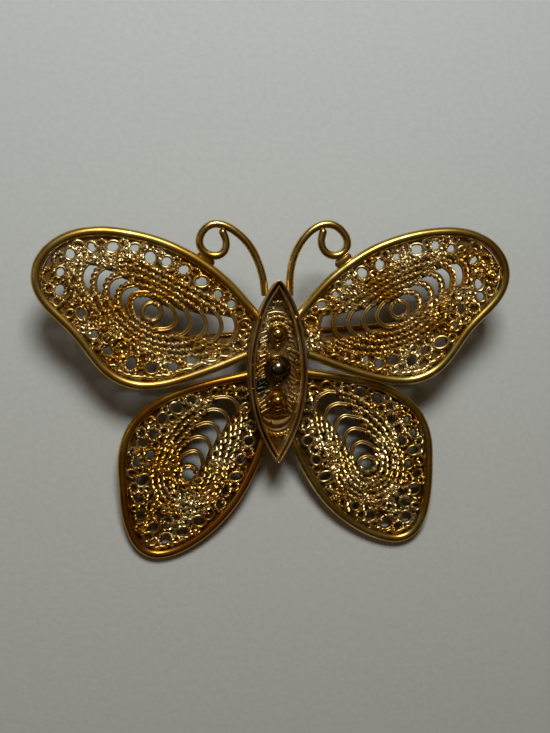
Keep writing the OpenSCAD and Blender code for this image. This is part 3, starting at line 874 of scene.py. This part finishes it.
def add_ring(bm, sizes, middle, radius, base, crown, plain):
    """A ribbon ring with a rope on it, a little out of round; plain is the chance of a wire."""
    place = (
        middle[0] + random.uniform(-1, 1) * 0.06 * MM,
        middle[1] + random.uniform(-1, 1) * 0.06 * MM,
    )
    stretch = random.uniform(0.84, 1.18)
    heading = random.uniform(0, math.pi)
    level = crown + random.uniform(-0.2, 0.06) * MM
    line = ring_line(place, radius, stretch=stretch, heading=heading)
    add_strip(bm, line, True, base, level, sizes.ribbon_t)
    slope = np.array([math.cos(heading * 3), math.sin(heading * 3)]) * random.uniform(0, 0.2)
    line = np.column_stack((line, (line - place) @ slope))
    if random.random() < plain:
        add_wire(bm, line, True, level, 0.42 * MM, step=0.2 * MM)
    else:
        size = random.uniform(0.8, 1.0)
        strand_d, lay = sizes.fine_strand_d * size, sizes.fine_lay * size * 0.75
        add_rope(bm, line, True, level, strand_d, lay, 10, 7)


def add_scraps(bm, sizes, plan):
    """Short curls of rope and solder blobs, round the loops and over the wing's end."""
    low, high = plan.edge.min(0), plan.edge.max(0)
    edge = closed_line(plan.edge, 0.3 * MM)
    spots = np.array(
        [[random.uniform(low[0], high[0]), random.uniform(low[1], high[1])] for _ in range(TRIES)]
    )
    orderly = inside(spots, plan.loops[0])
    orderly &= (spots[:, 1] > LOW_END_Y) & (abs(spots[:, 0]) < OUTER_END_X)
    free = inside(spots, plan.edge) & ~orderly & ~plan.open_room(spots)
    free &= reach_to(spots, edge) > 0.25 * MM
    for middle, radius in plan.rings:
        free &= norms(spots - middle) > radius + 0.1 * MM
    for number, spot in enumerate(spots[free][:SCRAPS]):
        # One in four is a blob
        if number % 4 == 0:
            size = random.uniform(0.35, 0.6) * MM
            add_ball(bm, (spot[0], spot[1], plan.crown + random.uniform(-0.15, 0.05) * MM), size, 2)
            continue
        radius = random.uniform(0.5, 1.6) * MM
        heading = random.uniform(0, 2 * math.pi)
        turn = random.uniform(0.9, 2.0) * MM / radius
        middle = spot - radius * np.array([math.cos(heading), math.sin(heading)])
        line = evenly(ring_line(middle, radius, heading - turn / 2, turn), 0.1 * MM)
        if any((norms(line - m) < r - 0.12 * MM).any() for m, r in plan.rings):
            continue
        if (reach_to(line, edge) < 0.2 * MM).any() or not inside(line, plan.edge).all():
            continue
        if plan.open_room(line).any():
            continue
        level = plan.crown + random.uniform(-0.04, 0.12) * MM
        size = random.uniform(0.9, 1.2)
        add_rope(bm, line, False, level, sizes.fine_strand_d * size, sizes.fine_lay * size, 8, 6)


class BROOCH_OT_filigree(bpy.types.Operator):
    """The soldered openwork of the wings"""

    bl_idname = "brooch.filigree"
    bl_label = "Filigree"

    def execute(self, context):
        sizes = context.scene.brooch_sizes
        upper = plating("Filigree plating")
        # The lower wings get the darker copy, partly painted shade, and their hollows darken up past the
        # crowns
        lower = plating("Dark filigree plating with painted shade")
        for number, node in enumerate(WINGS):
            random.seed(sizes.seed + number)
            plan = WingPlan(node)
            bm = openwork_mesh(sizes, plan, node, number)
            # Heights near the crown over which dark tarnish and painted shade fill the hollows
            if "fore" in node:
                finish, dark, clear_level = upper, -0.4 * MM, 0.04 * MM
            else:
                finish, dark, clear_level = lower, -0.3 * MM, 0.18 * MM
            hollow = (plan.crown + dark, plan.crown + clear_level)
            finish_piece(f"openwork_{node}", bm, (node,), finish, hollow)
        return {"FINISHED"}


def add_tarnish(finish, floor):
    """A spot of dark tarnish beside the middle ball."""
    spot = FROM_FLAT @ Vector((-1.9 * MM, -1.8 * MM, floor + 0.2 * MM))
    dark = (0.03, 0.045, 0.03, 1)
    tree = finish.node_tree
    place = tree.nodes.new("ShaderNodeTexCoord").outputs["Object"]
    gap = wired(tree, "ShaderNodeVectorMath", operation="DISTANCE")
    fill(tree, gap.inputs[0], place)
    fill(tree, gap.inputs[1], spot)
    rough = math_node(tree, "MULTIPLY", speckle(tree, place, 900, 2), 0.8 * MM)
    edge = math_node(tree, "ADD", gap.outputs["Value"], rough)
    share = scaled(tree, edge, 1.7 * MM, 1.3 * MM, 0.0, 0.95)
    shader = tree.nodes["Principled BSDF"]
    colour = shader.inputs["Base Color"].links[0].from_socket
    tree.links.new(blended(tree, share, colour, dark), shader.inputs["Base Color"])


def add_wall(bm, sizes, outer, base, rim):
    """The thin wall, bent round at the tips, with a lower lining inside."""
    line = closed_line(outer, 0.12 * MM)
    across = sideways(line, True)
    inward = across if inside((line + across * 0.1 * MM)[:1], outer)[0] else -across
    shoulder = np.clip((line[:, 1] - 5 * MM) / (5 * MM), 0, 1) ** 1.5
    for inset, drop, thick, turns in ((0.35, 0, 0.7, 40), (1.6, 0.25 * MM, 0.55, 60)):
        way = line + inward * sizes.wall_t * inset
        way[:, 0] *= 1.05 + 0.3 * shoulder
        for _ in range(turns):
            way = way[:-1]
            middle = (np.roll(way, 1, axis=0) + 2 * way + np.roll(way, -1, axis=0)) / 4
            way = np.vstack((middle, middle[:1]))
        way[:, 1] *= (outer[:, 1].max() - sizes.wall_t * inset) / way[:, 1].max()
        way = strayed(way, True, sizes.wobble * 0.8, 5, 0.5)
        add_strip(bm, way, True, base, rim - drop - 0.1 * MM, sizes.wall_t * thick, 0.15 * MM)
        add_wire(bm, way, True, rim - drop - 0.12 * MM, 0.24 * MM, step=0.15 * MM)


def add_body_ropes(bm, sizes, floor, head_y):
    """Arched ropes and a wire round the head's ball, and a rope that hangs over the tail gap."""
    strand, lay = sizes.body_strand_d, sizes.body_lay
    lift = floor + strand * 0.8
    for radius, reach in ((1.35, 0.38), (2.1, 0.3), (3.9, 0.1)):
        line = ring_line((0, head_y), radius * MM, math.pi * (0.5 - reach), math.pi * 2 * reach)
        add_rope(bm, evenly(line, 0.15 * MM), False, lift, strand * 0.75, lay * 0.75)
    arch = ring_line((-0.15 * MM, head_y), 2.72 * MM, math.pi * 0.34, math.pi * 0.32)
    add_wire(bm, evenly(arch, 0.2 * MM), False, lift + 0.2 * MM, 0.26 * MM, step=0.2 * MM)
    tail_y = -0.51 * HALF_LENGTH * MM
    line = ring_line((0, tail_y), 2.2 * MM, math.pi * 1.07, math.pi * 0.86)
    add_rope(bm, evenly(line, 0.15 * MM), False, lift + 0.25 * MM, strand * 0.8, lay * 0.7)


def add_grains(bm, floor):
    """A row of slanted grains down each side, and many strewn over the floor; in millimetres."""
    for side in (-1, 1):
        for y in np.arange(-5.0, 7.0, 0.58):
            x = side * 0.66 * HALF_WIDTH * (1 - (y / HALF_LENGTH) ** 2)
            x += random.uniform(-0.15, 0.15)
            heading = random.uniform(-0.9, -0.3) * side
            add_grain(bm, (x * MM, y * MM), heading, 0.85, floor + 0.35 * MM)
    for _ in range(GRAINS):
        y = random.uniform(-5.2, 8.8)
        across = 2.95 - 3.2 * (y / HALF_LENGTH) ** 2
        x = math.sqrt(random.random()) * across * random.choice((-1, 1))
        heading = random.uniform(0.2, 1.4) * math.copysign(1, -x)
        height = floor + random.uniform(0.05, 0.35) * MM
        add_grain(bm, (x * MM, y * MM), heading, random.uniform(0.3, 0.7), height)


def add_grain(bm, middle, heading, reach, height):
    """A short round-ended grain; reach is its length in millimetres."""
    tip = np.array([math.cos(heading), math.sin(heading)]) * reach / 2 * MM
    line = evenly(np.array([middle - tip, middle + tip]), 0.08 * MM)
    diameter = random.uniform(0.28, 0.42) * MM
    add_wire(bm, line, False, height, diameter, step=0.08 * MM, round_end=True)


class BROOCH_OT_body(bpy.types.Operator):
    """The boat-shaped body with its ropes"""

    bl_idname = "brooch.body"
    bl_label = "Body"

    def execute(self, context):
        sizes = context.scene.brooch_sizes
        low, high = flat_span("body_cup", TO_FLAT)
        base, rim = low[2], high[2]
        floor = rim - sizes.floor_depth
        finish = plating("Body plating")
        add_tarnish(finish, floor)
        random.seed(sizes.seed)
        outer = outlines("body_cup", rim - 0.2 * MM)[0]
        bm = flat_copy("body_cup")
        cut_level(bm, floor - 0.02 * MM, False)
        add_wall(bm, sizes, outer, base, rim)
        # The wall leans in toward its foot, as a boat's does
        for v in bm.verts:
            share = (rim - v.co.z) / (rim - base)
            v.co.x *= 1 - 0.03 * share
            v.co.y *= 1 - 0.07 * share
        low, high = flat_span("bead_upper", TO_FLAT)
        head_y = (low[1] + high[1]) / 2
        add_body_ropes(bm, sizes, floor, head_y)
        add_grains(bm, floor)
        add_ball(bm, (0, head_y - 1.55 * MM, floor + 0.5 * MM), 0.72 * MM, 3)
        # Dark tarnish and painted shade on the body's floor
        hollow = (floor - 0.1 * MM, floor + 0.4 * MM)
        finish_piece("brooch_body", bm, ("body_cup",), finish, hollow)
        return {"FINISHED"}


def add_seat(bm, place, radius):
    """A low round disc under a ball."""
    disc = bmesh.new()
    bmesh.ops.create_circle(disc, cap_ends=True, segments=40, radius=radius, matrix=place)
    top = bmesh.ops.extrude_face_region(disc, geom=disc.faces[:])["geom"]
    raised = [v for v in top if isinstance(v, bmesh.types.BMVert)]
    bmesh.ops.translate(disc, vec=(0, 0, 0.22 * MM), verts=raised)
    pour(bm, disc)


def collar_line(middle, radius, point):
    """A ring, which runs out to a point on one side if point gives an angle and a reach."""
    line = ring_line(middle, radius)
    if point:
        offset = line - middle
        angles = np.arctan2(offset[:, 1], offset[:, 0])
        away = np.abs(np.angle(np.exp(1j * (angles - point[0]))))
        line = middle + offset * (1 + point[1] * np.exp(-away * 2.6))[:, None]
    return evenly(line, 0.12 * MM)


class BROOCH_OT_balls(bpy.types.Operator):
    """The three balls on the body, each in its collar"""

    bl_idname = "brooch.balls"
    bl_label = "Balls"

    def execute(self, context):
        gold = plating("Ball plating")
        blue = plating("Blued ball plating")
        for node in BALLS:
            low, high = flat_span(node, TO_FLAT)
            middle = (low + high) / 2
            bm = bmesh.new()
            radius = (high[2] - low[2]) / BALL_SHOWN / 2
            centre = Matrix.Translation((middle[0], middle[1], high[2] - radius))
            bmesh.ops.create_uvsphere(bm, u_segments=40, v_segments=24, radius=radius, matrix=centre)
            reach = (high[0] - low[0]) / 2
            add_seat(bm, Matrix.Translation((middle[0], middle[1], low[2])), reach - 0.1 * MM)
            collar = collar_line(middle[:2], reach - 0.14 * MM, COLLAR_POINTS.get(node))
            add_strip(bm, collar, True, low[2], low[2] + 0.7 * MM, 0.13 * MM, 0.15 * MM)
            add_wire(bm, collar, True, low[2] + 0.72 * MM, 0.19 * MM, step=0.15 * MM)
            finish = blue if node == "bead_middle" else gold
            # Dark tarnish and painted shade round the foot of the ball
            hollow = (low[2], low[2] + 0.55 * MM)
            finish_piece(f"ball_{node}", bm, (node,), finish, hollow)
        return {"FINISHED"}


def add_solder(bm, line, level, frame_node):
    """A bead of solder where the curl rests on the wing's frame."""
    stations, wire_level = wire_line(frame_node, SOLID_FRAME_D)
    wire = evenly(smoothed(stations, False), 0.2 * MM)
    gaps = gaps_between(line, wire)
    i, k = np.unravel_index(gaps.argmin(), gaps.shape)
    along = directions(wire, False)[k]
    middle = (line[i] + wire[k]) / 2 + along * math.copysign(0.35 * MM, -along @ wire[k])
    place = Matrix.Translation((middle[0], middle[1], (level + wire_level) / 2 - 0.22 * MM))
    turn = Matrix.Rotation(math.atan2(along[1], along[0]), 4, "Z")
    shape = Matrix.Diagonal((1.2 * MM, 0.75 * MM, 0.42 * MM, 1))
    bmesh.ops.create_icosphere(bm, subdivisions=3, radius=1, matrix=place @ turn @ shape)


class BROOCH_OT_antennae(bpy.types.Operator):
    """The two wire antennae with curled ends"""

    bl_idname = "brooch.antennae"
    bl_label = "Antennae"

    def execute(self, context):
        sizes = context.scene.brooch_sizes
        finish = plating("Antenna plating")
        past_foot, past_curl = 1.1 * MM, 0.75 * MM
        for number, node in enumerate(ANTENNAE):
            stations, level = wire_line(node, SOLID_ANTENNA_D)
            line = run_on(stations, past_foot, past_curl, 0.12 * MM)
            line = strayed(line, False, sizes.wobble * 0.6, number + 31, 0.4)
            if node == "antenna_left":
                # Its foot stands a little further out
                line[:, 0] -= 0.32 * MM * np.clip(1 - travelled(line) / (7 * MM), 0, 1)
            bm = bmesh.new()
            add_wire(
                bm, line, False, level, sizes.antenna_d, step=0.14 * MM, sides=16, round_end=True
            )
            add_solder(bm, line, level, node.replace("antenna", "forewing_frame"))
            finish_piece(f"feeler_{node}", bm, (node,), finish)
        return {"FINISHED"}


class BROOCH_OT_pin(bpy.types.Operator):
    """The pin behind, which keeps its solid and gets its finish"""

    bl_idname = "brooch.pin"
    bl_label = "Pin"

    def execute(self, context):
        finish = plating("Pin plating")
        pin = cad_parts["brooch_pin"]
        pin.data.materials.clear()
        pin.data.materials.append(finish)
        return {"FINISHED"}


def add_floor(context):
    """A wide pale surface with a fine grain and a warmer near edge."""
    colours = context.scene.brooch_colours
    bm = bmesh.new()
    bmesh.ops.create_grid(bm, x_segments=2, y_segments=2, size=1.5)
    mesh = bpy.data.meshes.new("floor")
    bm.to_mesh(mesh)
    bm.free()
    floor = placed("floor", mesh)
    material = bpy.data.materials.new("Pale surface")
    material.use_nodes = True
    tree = material.node_tree
    shader = tree.nodes["Principled BSDF"]
    place = tree.nodes.new("ShaderNodeTexCoord").outputs["Object"]
    grain = speckle(tree, place, 1400, 3)
    parts = wired(tree, "ShaderNodeSeparateXYZ", Vector=place)
    nearness = scaled(tree, parts.outputs["Y"], 0.03, -0.05)
    base = blended(tree, nearness, (*colours.floor, 1), (*colours.near_floor, 1))
    shade = blended(tree, scaled(tree, grain, 0.3, 0.7, 0.0, 0.06), base, (0, 0, 0, 1))
    tree.links.new(shade, shader.inputs["Base Color"])
    bump = wired(tree, "ShaderNodeBump", Height=grain, Strength=0.15, Distance=0.2 * MM)
    tree.links.new(bump.outputs["Normal"], shader.inputs["Normal"])
    shader.inputs["Roughness"].default_value = 0.7
    mesh.materials.append(material)


def add_world(context):
    """A dim room, nearly black low down and faintly brown overhead."""
    world = bpy.data.worlds.new("Room")
    world.use_nodes = True
    tree = world.node_tree
    direction = tree.nodes.new("ShaderNodeTexCoord").outputs["Generated"]
    parts = wired(tree, "ShaderNodeSeparateXYZ", Vector=direction)
    height = scaled(tree, parts.outputs["Z"], 0.45, 0.9)
    horizon, overhead = (0.004, 0.003, 0.002, 1), (0.08, 0.051, 0.026, 1)
    shade = blended(tree, height, horizon, overhead)
    tree.links.new(shade, tree.nodes["Background"].inputs["Color"])
    tree.nodes["Background"].inputs["Strength"].default_value = 1.0
    context.scene.world = world


def add_lamp(name, power, tint, place, size):
    """A soft rectangular light that points at the brooch."""
    lamp = bpy.data.lights.new(name, "AREA")
    lamp.shape = "RECTANGLE"
    lamp.size, lamp.size_y = size
    lamp.energy = power
    lamp.color = tint
    item = placed(name, lamp)
    aim = (-Vector(place)).to_track_quat("-Z", "Y")
    item.matrix_world = Matrix.Translation(place) @ aim.to_matrix().to_4x4()


class BROOCH_OT_stage(bpy.types.Operator):
    """The pale floor, the soft lights and the camera"""

    bl_idname = "brooch.stage"
    bl_label = "Stage"

    def execute(self, context):
        stage = context.scene.brooch_stage
        context.scene.view_settings.view_transform = "Standard"
        add_floor(context)
        add_world(context)
        cool, warm = (0.985, 1, 0.985), (1, 0.97, 0.92)
        add_lamp("Window", stage.window_power, cool, place=(0, 0.155, 0.2), size=(0.09, 0.07))
        add_lamp("Side", stage.side_power, warm, place=(-0.2, 0.02, 0.15), size=(0.08, 0.08))
        camera_data = bpy.data.cameras.new("Camera")
        camera_data.lens = stage.lens
        camera_data.sensor_width = 36
        camera_data.clip_start = 0.005
        camera_data.clip_end = 20
        camera = placed("Camera", camera_data)
        pitch, yaw, roll = stage.camera_turn
        turn = Matrix.Rotation(pitch, 4, "X") @ Matrix.Rotation(yaw, 4, "Y")
        turn @= Matrix.Rotation(roll, 4, "Z")
        camera.matrix_world = Matrix.Translation(stage.camera_place) @ turn
        context.scene.camera = camera
        return {"FINISHED"}


OPERATORS = (
    BROOCH_OT_stage,
    BROOCH_OT_wing_frames,
    BROOCH_OT_filigree,
    BROOCH_OT_body,
    BROOCH_OT_balls,
    BROOCH_OT_antennae,
    BROOCH_OT_pin,
)


class BROOCH_PT_panel(bpy.types.Panel):
    """Buttons and values of the brooch"""

    bl_idname = "BROOCH_PT_panel"
    bl_label = "Filigree brooch"
    bl_space_type = "VIEW_3D"
    bl_region_type = "UI"
    bl_category = "Brooch"

    def draw(self, context):
        layout = self.layout
        for operator in OPERATORS:
            layout.operator(operator.bl_idname)
        scene = context.scene
        for group in (scene.brooch_sizes, scene.brooch_colours, scene.brooch_stage):
            box = layout.box()
            for name in group.__annotations__:
                box.prop(group, name)


CLASSES = (BroochSizes, BroochColours, BroochStage, *OPERATORS, BROOCH_PT_panel)


def register():
    for item in CLASSES:
        bpy.utils.register_class(item)
    bpy.types.Scene.brooch_sizes = bpy.props.PointerProperty(type=BroochSizes)
    bpy.types.Scene.brooch_colours = bpy.props.PointerProperty(type=BroochColours)
    bpy.types.Scene.brooch_stage = bpy.props.PointerProperty(type=BroochStage)


def unregister():
    del bpy.types.Scene.brooch_sizes
    del bpy.types.Scene.brooch_colours
    del bpy.types.Scene.brooch_stage
    for item in reversed(CLASSES):
        bpy.utils.unregister_class(item)


def main():
    register()
    for operator in OPERATORS:
        group, name = operator.bl_idname.split(".")
        getattr(getattr(bpy.ops, group), name)()


if __name__ == "__main__":
    main()
